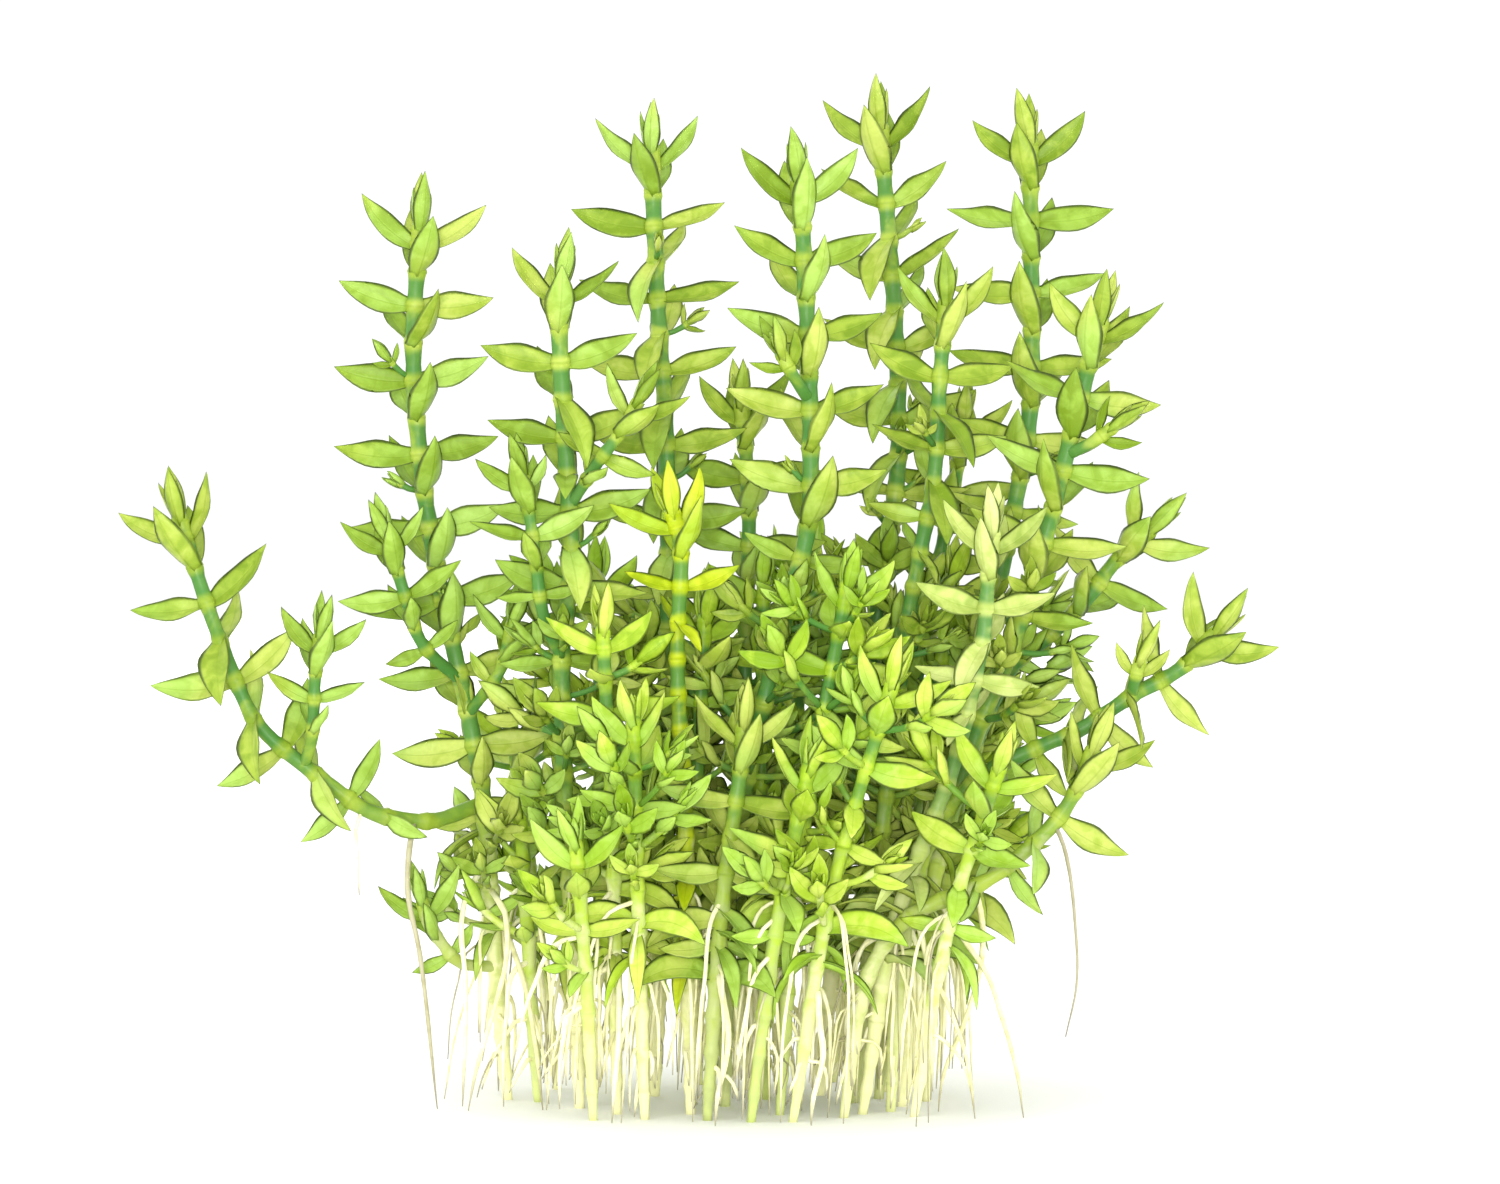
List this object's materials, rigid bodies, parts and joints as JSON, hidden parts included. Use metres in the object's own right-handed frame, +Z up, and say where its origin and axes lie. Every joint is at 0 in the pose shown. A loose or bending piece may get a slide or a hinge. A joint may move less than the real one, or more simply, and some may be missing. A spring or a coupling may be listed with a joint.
{
  "type": "aquarium plant",
  "caption": "Upright clump of a leafy aquarium stem plant with crossed pairs of pointed leaves, a side runner and cream roots, standing on its own foot.",
  "frame": {"origin": "on the resting surface, under the middle of the clump's box", "axes": "+Z up along the stems, +X along the clump's long side to the viewer's right, -Y towards the viewer"},
  "size_m": [0.1826, 0.0822, 0.1649],
  "materials": {
    "leaf_green": "satin living leaf, mottled light and mid green",
    "deep_green": "satin living leaf, deeper green",
    "yellow_green": "satin young leaf, bright yellow-green",
    "pale_green": "satin young leaf, pale green",
    "root_cream": "matt cream root with a browner edge"
  },
  "bodies": {
    "root": {"branch_right_high": "leaf_green", "branch_right_low": "leaf_green", "branch_right_lowest": "leaf_green", "bushy_stem_1": "deep_green", "bushy_stem_2": "deep_green", "bushy_stem_3": "deep_green", "bushy_stem_4": "deep_green", "bushy_stem_5": "deep_green", "bushy_stem_6": "deep_green", "bushy_stem_7": "deep_green", "bushy_stem_8": "deep_green", "bushy_stem_9": "deep_green", "bushy_stem_10": "deep_green", "bushy_stem_11": "deep_green", "bushy_stem_12": "deep_green", "bushy_stem_13": "deep_green", "bushy_stem_14": "deep_green", "bushy_stem_15": "deep_green", "bushy_stem_16": "deep_green", "bushy_stem_17": "deep_green", "root_back_1": "root_cream", "root_back_2": "root_cream", "root_back_3": "root_cream", "root_back_4": "root_cream", "root_front_1": "root_cream", "root_front_2": "root_cream", "root_front_3": "root_cream", "root_left_1": "root_cream", "root_left_2": "root_cream", "root_left_3": "root_cream", "root_right_1": "root_cream", "root_right_2": "root_cream", "root_right_4": "root_cream", "root_right_thin": "root_cream", "root_runner_end": "root_cream", "root_runner_left": "root_cream", "runner_left": "leaf_green", "side_shoot_back": "leaf_green", "side_shoot_branch_low": "leaf_green", "side_shoot_leaning": "leaf_green", "side_shoot_left_inner": "leaf_green", "side_shoot_left_low": "leaf_green", "side_shoot_left_right": "leaf_green", "side_shoot_mid_right": "leaf_green", "side_shoot_outer_right": "leaf_green", "side_shoot_runner": "leaf_green", "side_shoot_upright": "leaf_green", "stem_far_left_tall": "leaf_green", "stem_front_pale": "pale_green", "stem_front_short": "leaf_green", "stem_front_yellow": "yellow_green", "stem_inner_right": "leaf_green", "stem_inner_right_low": "leaf_green", "stem_left_tall": "leaf_green", "stem_mid_left_tall": "leaf_green", "stem_mid_right_tall": "leaf_green", "stem_middle_thin": "leaf_green", "stem_outer_right": "leaf_green", "stem_right_tall": "leaf_green", "stem_tallest": "leaf_green"}
  },
  "joints": []
}
